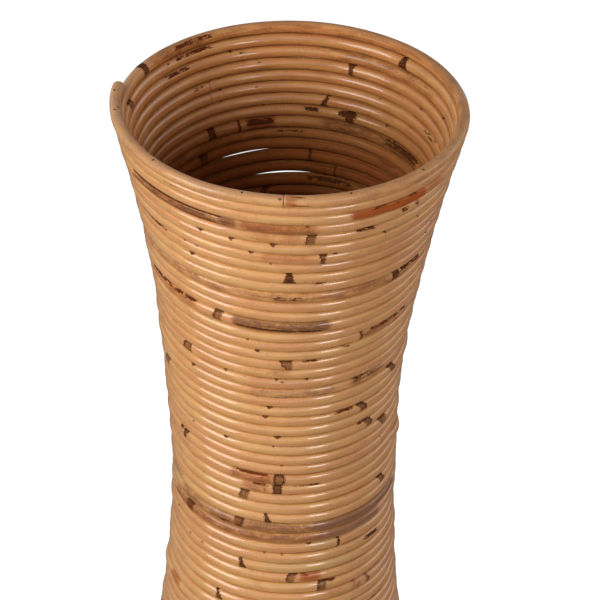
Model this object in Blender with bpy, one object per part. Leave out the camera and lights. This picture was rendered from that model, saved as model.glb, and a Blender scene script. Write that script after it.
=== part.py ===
"""Rattan floor vase.

Whole rattan canes are wound edge to edge in one left-handed coil, which forms the
flared foot, the drawn-in waist and the flared mouth. Each cane butts against the
next one in the coil, and brads driven down the wall hold the butt joints and the
rim. A plywood board closes the foot, and the lowest turn is planed level with it.

Metres, +Z up, the origin at the middle of the foot, on the floor. Angles count from
the front (-Y), positive towards the right (+X). A place along the coil is counted in
turns down from the cane end at the rim.
"""

import bisect
import itertools
import math

import bmesh
import bpy
from mathutils import Vector

# Vase
HEIGHT = 0.610
MOUTH_DIAMETER = 0.250
WAIST_DIAMETER = 0.162
WAIST_HEIGHT = 0.300
FOOT_DIAMETER = 0.252

# Canes
CANE_DIAMETER = 0.0083
LAY_GAP = 0.00045
BUTT_GAP = 0.0003
CORNERS_PER_TURN = 20
RIM_END_ANGLE = -100.0
PLANED_END_THICKNESS = 0.0014

# Joints of the canes: one in the rim, two over each other inside at the back left, and
# the hidden ones, which divide the rest of the coil evenly and lie round the back
RIM_JOINT_ANGLE = -3.0
PAIRED_JOINTS_ANGLE = -147.0
TURNS_OVER_PAIR = 4
HIDDEN_JOINT_ANGLES = (159.0, 138.0, -172.0, -143.0, 152.0, -165.0, 170.0)

# Brads
BRAD_DIAMETER = 0.0016
BRAD_SIDES = 6
BRAD_CLEARANCE = 0.0003
WALL_BRAD_LENGTH = 0.014
RIM_BRAD_ANGLES = (-94.0, -82.0, -49.0, -15.0, 20.0, 48.0)
JOINT_BRAD_SETBACK = 0.009
FOOT_BRADS = 6
FOOT_BRAD_LENGTH = 0.020

# Base board
BOARD_THICKNESS = 0.015
BOARD_CLEARANCE = 0.0004
BOARD_CORNERS = 40

CANE_RADIUS = CANE_DIAMETER / 2
PITCH = CANE_DIAMETER + LAY_GAP
CORNER_ANGLE = 360.0 / CORNERS_PER_TURN
SHORTEST_SIDE = 0.0015
# Across and along the wall: as wide and as high as the round cane, and nearly its area
CANE_SECTION = ((0, 1), (1, 0.5), (1, -0.5), (0, -1), (-1, -0.5), (-1, 0.5))

CANE_FINISH = ("cane", (0.60, 0.33, 0.13), 0.35, 0.0)
BOARD_FINISH = ("base_board", (0.50, 0.34, 0.19), 0.75, 0.0)
BRAD_FINISH = ("brad", (0.10, 0.08, 0.07), 0.45, 0.9)


class WallLine:
    """The middle of the wall in a cut through the axis: two arcs that meet upright at the waist."""

    def __init__(self):
        self.waist_radius = WAIST_DIAMETER / 2 - CANE_RADIUS
        self.upper_rise = HEIGHT - CANE_RADIUS - WAIST_HEIGHT
        self.upper_arc = self.arc_radius(self.upper_rise, MOUTH_DIAMETER)
        self.lower_arc = self.arc_radius(WAIST_HEIGHT, FOOT_DIAMETER)
        self.upper_length = self.upper_arc * math.asin(self.upper_rise / self.upper_arc)

    def arc_radius(self, rise, end_diameter):
        flare = end_diameter / 2 - CANE_RADIUS - self.waist_radius
        return (rise**2 + flare**2) / (2 * flare)

    def at(self, down):
        """(radius, height, outward lean) at a distance down the wall from the rim."""
        above = self.upper_length - down
        arc = self.upper_arc if above > 0 else self.lower_arc
        lean = above / arc
        radius = self.waist_radius + arc * (1 - math.cos(lean))
        return radius, WAIST_HEIGHT + arc * math.sin(lean), lean

    def down_to(self, height):
        """Distance down the wall to a height under the waist."""
        return self.upper_length + self.lower_arc * math.asin((WAIST_HEIGHT - height) / self.lower_arc)

    def radius_at(self, height):
        return self.at(self.down_to(height))[0]


WALL = WallLine()
COIL_TURNS = WALL.down_to(PLANED_END_THICKNESS - CANE_RADIUS) / PITCH


def outward(angle):
    turned = math.radians(angle)
    return Vector((math.sin(turned), -math.cos(turned), 0))


def corner_frame(turns):
    """(middle, across, along) of the cane where the coil has one of its corners."""
    radius, height, lean = WALL.at(PITCH * turns)
    out = outward(RIM_END_ANGLE + 360 * turns)
    up = Vector((0, 0, 1))
    middle = out * radius + up * height
    across = out * math.cos(lean) - up * math.sin(lean)
    along = out * math.sin(lean) + up * math.cos(lean)
    return middle, across, along


def turns_of_corner(number):
    return (number * CORNER_ANGLE - RIM_END_ANGLE) / 360


def corner_before(turns):
    return math.floor((RIM_END_ANGLE + 360 * turns) / CORNER_ANGLE)


def cane_frame(turns):
    """(middle, across, along) of the cane anywhere on the coil, which runs straight between its corners."""
    first = corner_before(turns)
    start = turns_of_corner(first)
    share = (turns - start) * CORNERS_PER_TURN
    near, far = corner_frame(start), corner_frame(turns_of_corner(first + 1))
    middle, across, along = (a.lerp(b, share) for a, b in zip(near, far))
    return middle, across, along


def metres_per_turn(turns):
    return 2 * math.pi * WALL.at(PITCH * turns)[0]


def turns_at(angle, whole_turns):
    """The place on the coil at an angle, with so many whole turns over it."""
    return whole_turns + (angle - RIM_END_ANGLE) % 360 / 360


def joints_below(last_joint):
    """Turn counts of the hidden joints, each at its angle next to its share of the coil's length."""
    corners = range(corner_before(last_joint) + 1, corner_before(COIL_TURNS) + 1)
    steps = [turns_of_corner(number) for number in corners]
    lengths = list(itertools.accumulate(metres_per_turn(turns) for turns in steps))
    joints = []
    for number, angle in enumerate(HIDDEN_JOINT_ANGLES, 1):
        share = lengths[-1] * number / (len(HIDDEN_JOINT_ANGLES) + 1)
        nearby = steps[bisect.bisect(lengths, share)]
        in_first_turn = turns_at(angle, 0)
        joints.append(in_first_turn + round(nearby - in_first_turn))
    return joints


RIM_JOINT = turns_at(RIM_JOINT_ANGLE, 0)
PAIRED_JOINT = turns_at(PAIRED_JOINTS_ANGLE, TURNS_OVER_PAIR)
HIDDEN_JOINTS = joints_below(PAIRED_JOINT + 1)
JOINTS = [RIM_JOINT, PAIRED_JOINT, PAIRED_JOINT + 1, *HIDDEN_JOINTS]


def stations(start, end):
    """Turn counts of a cane's two ends and of the coil's corners between them."""
    margin = SHORTEST_SIDE / metres_per_turn(start)
    numbers = range(corner_before(start), corner_before(end) + 2)
    corners = (turns_of_corner(number) for number in numbers)
    return [start] + [t for t in corners if start + margin < t < end - margin] + [end]


def section_ring(turns):
    middle, across, along = cane_frame(turns)
    return [middle + CANE_RADIUS * (x * across + y * along) for x, y in CANE_SECTION]


def least_gap():
    """Least distance between the corners of one turn and those of the turn under it."""
    gap = math.inf
    for number in range(corner_before(0) + 1, corner_before(COIL_TURNS - 1)):
        turns = turns_of_corner(number)
        upper, lower = section_ring(turns), section_ring(turns + 1)
        gap = min(gap, min((a - b).length for a in upper for b in lower))
    return gap


def material(name, colour, roughness, metallic):
    made = bpy.data.materials.new(name)
    made.use_nodes = True
    shader = made.node_tree.nodes["Principled BSDF"]
    shader.inputs["Base Color"].default_value = (*colour, 1)
    shader.inputs["Roughness"].default_value = roughness
    shader.inputs["Metallic"].default_value = metallic
    return made


def add_object(name, bm, finish, smooth_angle=math.radians(40)):
    bmesh.ops.recalc_face_normals(bm, faces=bm.faces)
    mesh = bpy.data.meshes.new(name)
    bm.to_mesh(mesh)
    bm.free()
    mesh.shade_smooth()
    mesh.set_sharp_from_angle(angle=smooth_angle)
    mesh.materials.append(finish)
    made = bpy.data.objects.new(name, mesh)
    bpy.context.scene.collection.objects.link(made)
    return made


def tube(rings):
    """A closed solid through rings of points that have as many points each."""
    bm = bmesh.new()
    loops = [[bm.verts.new(point) for point in ring] for ring in rings]
    count = len(loops[0])
    for near, far in zip(loops, loops[1:]):
        for i in range(count):
            j = (i + 1) % count
            bm.faces.new((near[i], near[j], far[j], far[i]))
    bm.faces.new(loops[0][::-1])
    bm.faces.new(loops[-1])
    return bm


def plane_level(bm):
    """Takes off what lies under the floor and closes the cut."""
    everything = bm.verts[:] + bm.edges[:] + bm.faces[:]
    cut = bmesh.ops.bisect_plane(
        bm, geom=everything, dist=1e-6, plane_co=(0, 0, 0), plane_no=(0, 0, -1), clear_outer=True
    )
    rim = [part for part in cut["geom_cut"] if isinstance(part, bmesh.types.BMEdge)]
    bmesh.ops.contextual_create(bm, geom=rim)


def rod(start, end, radius, sides):
    """A straight rod with flat ends."""
    axis = (end - start).normalized()
    side = axis.orthogonal().normalized()
    other = axis.cross(side)
    spokes = []
    for i in range(sides):
        turned = 2 * math.pi * i / sides
        spokes.append(radius * (math.cos(turned) * side + math.sin(turned) * other))
    return tube([[end_point + spoke for spoke in spokes] for end_point in (start, end)])


def make_canes(finish):
    """The coil, one object for each cane, from the rim down."""
    half_gap = BUTT_GAP / 2
    starts = [0.0] + [turns + half_gap / metres_per_turn(turns) for turns in JOINTS]
    ends = [turns - half_gap / metres_per_turn(turns) for turns in JOINTS] + [COIL_TURNS]
    canes = []
    for number, (start, end) in enumerate(zip(starts, ends), 1):
        bm = tube([section_ring(turns) for turns in stations(start, end)])
        if end == COIL_TURNS:
            plane_level(bm)
        canes.append(add_object(f"cane_{number:02d}", bm, finish))
    return canes


def make_base_board(finish):
    """A round plywood board whose bevelled edge follows the inside of the foot."""
    flat_share = math.cos(math.radians(CORNER_ANGLE / 2))

    def edge_radius(height):
        lean = WALL.at(WALL.down_to(height))[2]
        return WALL.radius_at(height) * flat_share - CANE_RADIUS / math.cos(lean) - BOARD_CLEARANCE

    rings = []
    for height in (0.0, BOARD_THICKNESS):
        radius = edge_radius(height)
        turned = [360 * i / BOARD_CORNERS for i in range(BOARD_CORNERS)]
        rings.append([outward(angle) * radius + Vector((0, 0, height)) for angle in turned])
    return add_object("base_board", tube(rings), finish)


def wall_brad_lines():
    """(name, start, end, space over the start) of the brads that go down the wall."""
    lines = []

    def line(name, turns, length, room_above):
        middle, _, along = cane_frame(turns)
        down = (cane_frame(turns + 1)[0] - middle).normalized()
        top = middle - down * CANE_RADIUS
        lines.append((name, top, top + down * length, room_above))

    for number, angle in enumerate(RIM_BRAD_ANGLES, 1):
        line(f"rim_brad_{number}", (angle - RIM_END_ANGLE) / 360, WALL_BRAD_LENGTH, CANE_RADIUS)
    # The rim brads hold the joint in the rim, and the brads of the upper one of the paired
    # joints reach through both
    number = 0
    for turns in [PAIRED_JOINT, *HIDDEN_JOINTS]:
        length = WALL_BRAD_LENGTH + (PITCH if turns == PAIRED_JOINT else 0)
        for side in (-1, 1):
            number += 1
            set_back = side * JOINT_BRAD_SETBACK / metres_per_turn(turns)
            line(f"joint_brad_{number:02d}", turns + set_back, length, LAY_GAP / 2)
    return lines


def foot_brad_lines():
    """(name, start, end, space over the start) of the brads through the foot into the board."""
    lines = []
    middle_turns = WALL.down_to(BOARD_THICKNESS / 2) / PITCH
    for number in range(1, FOOT_BRADS + 1):
        corner = math.floor((number - 1) * CORNERS_PER_TURN / FOOT_BRADS)
        angle = (corner + 0.5) * CORNER_ANGLE
        first = (angle - RIM_END_ANGLE) / 360
        turns = first + round(middle_turns - first)
        middle = cane_frame(turns)[0]
        start = middle + outward(angle) * CANE_RADIUS
        lines.append((f"foot_brad_{number}", start, start - outward(angle) * FOOT_BRAD_LENGTH, CANE_RADIUS))
    return lines


def make_brads(finish, drilled):
    """The brads, and the holes they sit in."""
    drills = bpy.data.collections.new("brad_holes")
    bpy.context.scene.collection.children.link(drills)
    radius = BRAD_DIAMETER / 2
    for name, start, end, room_above in wall_brad_lines() + foot_brad_lines():
        add_object(name, rod(start, end, radius, BRAD_SIDES), finish)
        onward = (end - start).normalized()
        hole = rod(
            start - onward * room_above, end + onward * BRAD_CLEARANCE, radius + BRAD_CLEARANCE, BRAD_SIDES
        )
        drill = add_object(f"{name}_hole", hole, finish)
        bpy.context.scene.collection.objects.unlink(drill)
        drills.objects.link(drill)
        drill.hide_render = True
        drill.display_type = "WIRE"
    for piece in drilled:
        cut = piece.modifiers.new("brad_holes", "BOOLEAN")
        cut.operation = "DIFFERENCE"
        cut.operand_type = "COLLECTION"
        cut.collection = drills
        cut.solver = "EXACT"


def main():
    for old in list(bpy.data.objects):
        bpy.data.objects.remove(old)
    canes = make_canes(material(*CANE_FINISH))
    board = make_base_board(material(*BOARD_FINISH))
    make_brads(material(*BRAD_FINISH), canes + [board])
    print(f"Least gap between turns: {1000 * least_gap():.2f} mm over {COIL_TURNS:.1f} turns")


main()
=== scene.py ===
"""Looks of the rattan floor vase: round canes with their nodes, stains and clear
lacquer, the plywood board, the brads, and the light and camera of the photograph.

Metres, +Z up. Angles count from the front (-Y), positive towards the right (+X). A
place along the coil is counted in turns down from the cane end at the rim, so it is
an angle and the whole turns over it. Round a cane, 0 degrees faces out of the vase
and 90 degrees up the wall.
"""

import bisect
import itertools
import math
from types import SimpleNamespace

import bmesh
import bpy
import numpy as np
from mathutils import Matrix, Vector


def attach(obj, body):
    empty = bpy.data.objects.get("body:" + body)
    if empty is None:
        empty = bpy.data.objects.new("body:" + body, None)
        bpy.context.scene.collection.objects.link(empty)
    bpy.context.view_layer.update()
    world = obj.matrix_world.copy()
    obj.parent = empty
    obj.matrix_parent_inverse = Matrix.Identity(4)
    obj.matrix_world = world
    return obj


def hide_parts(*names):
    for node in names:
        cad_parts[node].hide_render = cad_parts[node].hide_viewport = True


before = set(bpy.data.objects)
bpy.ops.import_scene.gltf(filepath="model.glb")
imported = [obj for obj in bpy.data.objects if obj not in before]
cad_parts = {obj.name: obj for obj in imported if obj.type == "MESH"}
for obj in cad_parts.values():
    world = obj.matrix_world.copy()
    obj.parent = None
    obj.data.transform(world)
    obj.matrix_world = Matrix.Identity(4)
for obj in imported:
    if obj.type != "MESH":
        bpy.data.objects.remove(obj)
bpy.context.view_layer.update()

# The coil, as the solids have it
HEIGHT = 0.610
MOUTH_DIAMETER = 0.250
WAIST_DIAMETER = 0.162
WAIST_HEIGHT = 0.300
FOOT_DIAMETER = 0.252
CANE_DIAMETER = 0.0083
LAY_GAP = 0.00045
RIM_END_ANGLE = -100.0
PLANED_END_THICKNESS = 0.0014
RIM_JOINT_ANGLE = -1.6
PAIRED_JOINTS_ANGLE = -147.0
TURNS_OVER_PAIR = 4
HIDDEN_JOINT_ANGLES = (159.0, 138.0, -172.0, -143.0, 152.0, -165.0, 170.0)
RIM_BRAD_ANGLES = (-94.0, -82.0, -49.0, -15.0, 20.0, 48.0)
CORNERS_PER_TURN = 20
PITCH = CANE_DIAMETER + LAY_GAP

# Rings of a cane's mesh in one turn
STATIONS = 216

# Half of a cane's section from its outermost point up and round to its innermost, as (out, up)
# in radii: round, and as it is where lacquer and pressing fill the groove to the next turn
ROUND_SECTION = ((1.0, 0.0), (0.94, 0.34), (0.79, 0.61), (0.60, 0.80), (0.0, 1.0), (-0.60, 0.80))
FILLED_SECTION = ((1.0, 0.0), (0.94, 0.41), (0.80, 0.75), (0.57, 1.0), (0.0, 1.0), (-0.60, 0.80))
INNER_SECTION = ((-0.79, 0.61), (-0.94, 0.34), (-1.0, 0.0))
SIDES = 2 * (len(ROUND_SECTION) + len(INNER_SECTION) - 1)
# Turns down the coil, and how far the grooves are filled there
GROOVE_FILLING = ((0, 0.32), (10, 0.36), (20, 0.42), (60, 0.45))
# Part of a turn over which the groove starts that lies behind the cane end at the rim
RIM_FADE = 0.01

# How the hand-laid canes stray from an even coil
RIM_DROP = 0.0003
WALL_INSET = 0.00025
BUTT_GAP = 0.0003
THICKNESS_OF_CANES = 0.02
# Deviation, the turns over which it changes, and the seed of its random values
THICKNESS_ALONG = (0.035, 0.4, 1)
SLOW_WOBBLE = (0.00032, 0.16, 11)
QUICK_WOBBLE = (0.00016, 0.05, 12)
GROOVE_STRAY = (0.12, 0.11, 13)
SEEDS = {"canes": 2, "scars": 21, "lines": 22, "stains": 23}
# Turns down the coil, and how thick the cane is there at the front against the mean
FRONT_THICKNESS = ((0, 0.90), (0.9, 0.94), (1.6, 1.085), (12.5, 1.085), (14, 1.0), (42, 1.0), (46, 0.965))
FAT_AND_THIN_TURNS = ((20.5, 0.92), (21.7, 1.15), (29.7, 1.12), (32.0, 1.06), (38.8, 0.91))
FAT_OR_THIN_REACH = 0.5
# Steps of the coil over which one thickness runs into the next
THICKNESS_BLEND = 25
STACKING_PASSES = 3
# Turns down the coil, and how far the vase stands to the right there
SWAY = ((0, 0.0), (14, 0.0), (20, -0.0014), (27, -0.0010), (33, 0.0008), (45, 0.0006), (60, 0.0))
# Angle, whole turns, how far it stands out and over how many degrees to each side
BUMPS = ((81, 29, 0.0020, 12), (-85, 44, 0.0016, 14), (-99, 0, 0.0008, 14))
# Angle, whole turns, width of the gap under that turn and half its length in degrees
GAPS = ((-158, 10, 0.0015, 23), (-177, 12, 0.0016, 23), (-28, 13, 0.0010, 46), (0, 13, 0.0008, 26))
# Turns over and under a gap that make room for it
GAP_FADE = 3

# A cane's rounded end: how far each of its rings lies from it, and how much it is drawn in
END_RINGS = ((0.0, 0.86), (0.0002, 0.935), (0.0006, 0.98), (0.0014, 1.0))
END_CORE = 0.45
END_SET_BACK = 0.0004
END_SET_BACK_REACH = 0.014
# Least distance from these rings to the next one, in steps of the coil
RING_CLEARANCE = 0.3
# How far a node stands out, and how far to each side of it the cane is thicker
NODE_SWELLING = 0.00022
NODE_SWELLING_REACH = 0.007
CANE_CREASE_ANGLE = 42
# Metres of grain from one cane's start to the next one's
GRAIN_STEP = 7.0
# Turns down from where the lacquer thins on the inside and painted shade starts to darken the cane, and
# over how many turns the lacquer ends and the shade is full
UNSPRAYED_AND_PAINTED_SHADE = (5, 7)
# The map of a cane: margin of a row, where its two ends lie in the last row, and their size
MAP_MARGIN = 0.04
MAP_END_PLACES = (0.25, 0.75)
MAP_END_SIZE = (0.3, 0.8)


def smooth(share):
    share = np.clip(share, 0, 1)
    return share * share * (3 - 2 * share)


def bump(offset):
    """1 at no offset and 0 from an offset of 1 to either side."""
    return np.clip(1 - np.square(offset), 0, 1) ** 2


class WallLine:
    """The middle of the wall in a cut through the axis: two arcs that meet upright at the waist."""

    def __init__(self):
        self.waist_radius = WAIST_DIAMETER / 2 - CANE_DIAMETER / 2
        self.upper_rise = HEIGHT - CANE_DIAMETER / 2 - WAIST_HEIGHT
        self.upper_arc = self.arc_radius(self.upper_rise, MOUTH_DIAMETER)
        self.lower_arc = self.arc_radius(WAIST_HEIGHT, FOOT_DIAMETER)
        self.upper_length = self.upper_arc * math.asin(self.upper_rise / self.upper_arc)

    def arc_radius(self, rise, end_diameter):
        flare = end_diameter / 2 - CANE_DIAMETER / 2 - self.waist_radius
        return (rise**2 + flare**2) / (2 * flare)

    def at(self, down):
        """(radius, height, outward lean) at distances down the wall from the rim."""
        above = self.upper_length - np.asarray(down, float)
        arc = np.where(above > 0, self.upper_arc, self.lower_arc)
        lean = above / arc
        return self.waist_radius + arc * (1 - np.cos(lean)), WAIST_HEIGHT + arc * np.sin(lean), lean

    def down_to(self, height):
        return self.upper_length + self.lower_arc * math.asin((WAIST_HEIGHT - height) / self.lower_arc)


WALL = WallLine()
COIL_TURNS = WALL.down_to(PLANED_END_THICKNESS - CANE_DIAMETER / 2) / PITCH


def metres_per_turn(turns):
    return 2 * math.pi * WALL.at(PITCH * np.asarray(turns))[0]


def turns_at(angle, whole_turns):
    """The place on the coil at an angle, with so many whole turns over it."""
    return whole_turns + (angle - RIM_END_ANGLE) % 360 / 360


def joints_below(last_joint):
    """Turn counts of the hidden joints, each at its angle next to its share of the coil's length."""

    def corner_before(turns):
        return math.floor((RIM_END_ANGLE / 360 + turns) * CORNERS_PER_TURN)

    corners = range(corner_before(last_joint) + 1, corner_before(COIL_TURNS) + 1)
    steps = [number / CORNERS_PER_TURN - RIM_END_ANGLE / 360 for number in corners]
    lengths = list(itertools.accumulate(float(metres_per_turn(turns)) for turns in steps))
    joints = []
    for number, angle in enumerate(HIDDEN_JOINT_ANGLES, 1):
        share = lengths[-1] * number / (len(HIDDEN_JOINT_ANGLES) + 1)
        in_first_turn = turns_at(angle, 0)
        joints.append(in_first_turn + round(steps[bisect.bisect(lengths, share)] - in_first_turn))
    return joints


PAIRED_JOINT = turns_at(PAIRED_JOINTS_ANGLE, TURNS_OVER_PAIR)
JOINTS = [turns_at(RIM_JOINT_ANGLE, 0), PAIRED_JOINT, PAIRED_JOINT + 1, *joints_below(PAIRED_JOINT + 1)]


class Coil:
    """Where the middle of the cane lies and how thick it is, at even steps along the coil."""

    def __init__(self):
        self.turns = np.arange(math.ceil(COIL_TURNS * STATIONS) + 2) / STATIONS
        self.metres = np.concatenate([[0], np.cumsum(metres_per_turn(self.turns[1:]) / STATIONS)])
        self.radius = self.thicknesses()
        self.down = self.stack()
        self.across = self.wander(*SLOW_WOBBLE) + self.wander(*QUICK_WOBBLE)
        self.across -= WALL_INSET
        self.filling_stray = self.wander(*GROOVE_STRAY)
        for angle, whole_turns, size, reach in BUMPS:
            self.across += size * bump((self.turns - turns_at(angle, whole_turns)) * 360 / reach)
        self.open_gaps()

    def wander(self, size, reach, seed):
        """Smooth random values with a deviation of size, which change over so many turns."""
        knots = np.random.default_rng(seed).standard_normal(int(self.turns[-1] / reach) + 3)
        whole, share = np.divmod(self.turns / reach, 1)
        whole = whole.astype(int)
        share = smooth(share)
        return size * (knots[whole] * (1 - share) + knots[whole + 1] * share)

    def thicknesses(self):
        radius = CANE_DIAMETER / 2 * (1 + self.wander(*THICKNESS_ALONG))
        frontness = 0.5 + 0.5 * np.cos(np.radians(RIM_END_ANGLE + 360 * self.turns))
        radius *= 1 + (np.interp(self.turns, *zip(*FRONT_THICKNESS)) - 1) * frontness
        draws = np.random.default_rng(SEEDS["canes"])
        for start, end in zip([0, *JOINTS], [*JOINTS, COIL_TURNS + 1]):
            inside = (self.turns >= start) & (self.turns < end)
            radius[inside] *= 1 + THICKNESS_OF_CANES * draws.uniform(-1, 1)
        for turns, share in FAT_AND_THIN_TURNS:
            radius *= 1 + (share - 1) * bump((self.turns - turns) / FAT_OR_THIN_REACH)
        window = np.hanning(THICKNESS_BLEND)
        padded = np.pad(radius, len(window) // 2, mode="edge")
        return np.convolve(padded, window / window.sum(), mode="valid")

    def stack(self):
        """Distances down the wall, with each turn resting on the one under it and the last one level."""
        target = PITCH * self.turns
        for _ in range(STACKING_PASSES):
            down = np.empty_like(self.radius)
            first = self.turns[:STATIONS]
            down[:STATIONS] = RIM_DROP + (self.radius[0] + self.radius[STATIONS]) * first
            for k in range(STATIONS, len(down), STATIONS):
                here = slice(k, min(k + STATIONS, len(down)))
                over = slice(here.start - STATIONS, here.stop - STATIONS)
                down[here] = down[over] + self.radius[over] + self.radius[here]
            self.radius *= (target[-1] - RIM_DROP) / (down[-1] - RIM_DROP)
        last = slice(len(down) - STATIONS, len(down))
        stray = (target[last] - down[last]) / down[last]
        stray -= np.linspace(stray[0], stray[-1], STATIONS)
        turned = (np.arange(len(down)) - last.start) % STATIONS
        return down * (1 + stray[turned])

    def open_gaps(self):
        for angle, whole_turns, width, reach in GAPS:
            offset = self.turns - turns_at(angle, whole_turns)
            order = np.round(offset)
            opened = width / 2 * bump((offset - order) * 360 / reach)
            over = order <= 0
            self.down -= np.where(over, opened * np.exp(order / GAP_FADE), 0)
            self.down += np.where(over, 0, opened * np.exp((1 - order) / GAP_FADE))

    def place(self, turns):
        """(middle, across, along) of the cane, and its radius, at places along the coil."""
        down = np.interp(turns, self.turns, self.down)
        out, height, lean = WALL.at(down)
        angle = np.radians(RIM_END_ANGLE + 360 * np.asarray(turns))
        flat = np.stack([np.sin(angle), -np.cos(angle), 0 * angle], -1)
        up = np.array([0, 0, 1.0])
        lean = lean[..., None]
        across = flat * np.cos(lean) - up * np.sin(lean)
        along = flat * np.sin(lean) + up * np.cos(lean)
        proud = np.interp(turns, self.turns, self.across)[..., None]
        middle = flat * out[..., None] + up * height[..., None] + across * proud
        middle = middle + np.interp(turns, *zip(*SWAY))[..., None] * np.array([1.0, 0, 0])
        return middle, across, along, np.interp(turns, self.turns, self.radius)

    def filling_at(self, turns):
        """How much more or less than the mean the groove is filled."""
        return np.interp(turns, self.turns, self.filling_stray)

    def metres_at(self, turns):
        return np.interp(turns, self.turns, self.metres)


COIL = Coil()

# Scars of the cane's nodes, by the shape of their dark ring, in millimetres along the cane:
# half length, how much wider at the top, pinch at mid height, slant, bend, then which edge is
# dark (-1 left, 1 right, 0 both), how dark the middle is, and from which height up the cane they
# reach, in radii (-2 all round)
SCARS = {
    "block": (3.3, 0, 0, 0.4, 0.3, 0, 0.75, -2),
    "ring": (3.3, 0, -0.25, 0.5, 0.2, 0, 0.35, -2),
    "left": (3.6, 0, 0.1, 0.5, -0.4, -0.9, 0.35, -2),
    "right": (3.6, 0.1, 0.1, 0.6, 0.5, 0.9, 0.35, -2),
    "bell": (3.6, -0.45, 0, 0, 0, 0, 0.95, -2),
    "pinched": (2.9, 0.1, 0.45, 0.3, 0, 0, 0.45, -2),
    "crescent": (3, 0.2, 0, 0.4, -1.3, -0.9, 0.25, -2),
    "bow": (3, 0.2, 0, -0.6, 1.5, 0.9, 0.45, -2),
    "slanted": (3.2, 0.5, 0, -1.6, 0, -0.9, 0.35, -2),
    "hook": (2, -0.5, 0, -1.2, 0.6, 0, 0.75, -2),
    "thin": (1, 0, 0, 0.3, 0.2, 0, 0.95, -2),
    "faint": (3.2, 0, 0, 0.6, 0.5, 0.8, 0.05, -2),
    "half_moon": (1.6, 0.5, 0, 0, 0, 0, 0.6, 0.58),
    "speck": (1, 0.3, 0, 0, 0, 0, 0.6, 0.64),
    "brad_hole": (1.25, 0, 0, 0, 0, 0, 1, 0.965),
}

# The scars that the photograph shows, by shape: angle, whole turns
SHOWN_SCARS = {
    "block": ((47, 10), (-2.5, 30), (-117.6, 0), (-145, 8), (155, 7)),
    "ring": ((-48.4, 18), (-1.6, 29), (-100, 2)),
    "left": ((7.8, 4), (-29, 13), (-19.7, 31), (21, 40)),
    "right": ((-23.3, 34), (-140, 10)),
    "bell": ((0.8, 8), (136, 1)),
    "pinched": ((12.6, 6), (-57, 28), (157, 3)),
    "crescent": ((5.5, 39),),
    "bow": ((60.6, 21), (41, 23), (46, 25), (59.8, 32), (47, 41)),
    "slanted": ((1.7, 17), (-69.7, 22), (59.6, 26), (-55, 35)),
    "hook": ((-8.2, 33), (-20.7, 38), (-33, 42), (166, 6)),
    "thin": ((30, 36), (34, 15), (-158, 8), (171, 11)),
    "faint": ((41, 41),),
    "half_moon": (
        (-32, 5), (-20, 5), (-5, 5), (-13, 6), (-38, 8), (-12, 16), (-46, 20), (-6, 22), (-8, 23),
        (-28.5, 26), (-2, 25), (14, 36),
    ),
    "speck": (
        (52, 5), (64, 8), (36, 5), (-41, 7), (-6, 7), (-16, 15), (-27, 19), (-71, 26), (-12, 21), (11, 19),
        (-4, 26), (0, 28), (-9, 37), (0, 37), (-3, 19), (106, 3), (-157, 2), (138, 7), (133, 8),
    ),
}

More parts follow.
